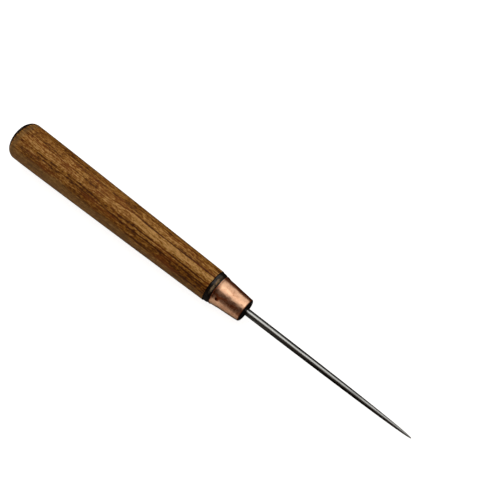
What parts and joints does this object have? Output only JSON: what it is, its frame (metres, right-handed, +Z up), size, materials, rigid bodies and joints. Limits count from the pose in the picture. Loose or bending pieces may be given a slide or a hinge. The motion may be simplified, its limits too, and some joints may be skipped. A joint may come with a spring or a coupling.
{
  "type": "scratch awl",
  "caption": "Leatherworking scratch awl: turned wooden handle, tapered copper ferrule and a long round steel spike for marking and piercing.",
  "frame": {"origin": "centre of the flat butt face at the end of the handle", "axes": "+X along the tool's axis from the butt to the point, +Z up when the awl lies on its side on a bench"},
  "size_m": [0.208, 0.0182, 0.0182],
  "materials": {
    "handle": "stained open-grained hardwood, satin",
    "ferrule": "polished copper",
    "blade": "satin ground steel",
    "bedding": "black hard compound"
  },
  "bodies": {
    "root": {"handle": "handle", "ferrule": "ferrule", "blade": "blade", "bedding": "bedding"}
  },
  "joints": []
}
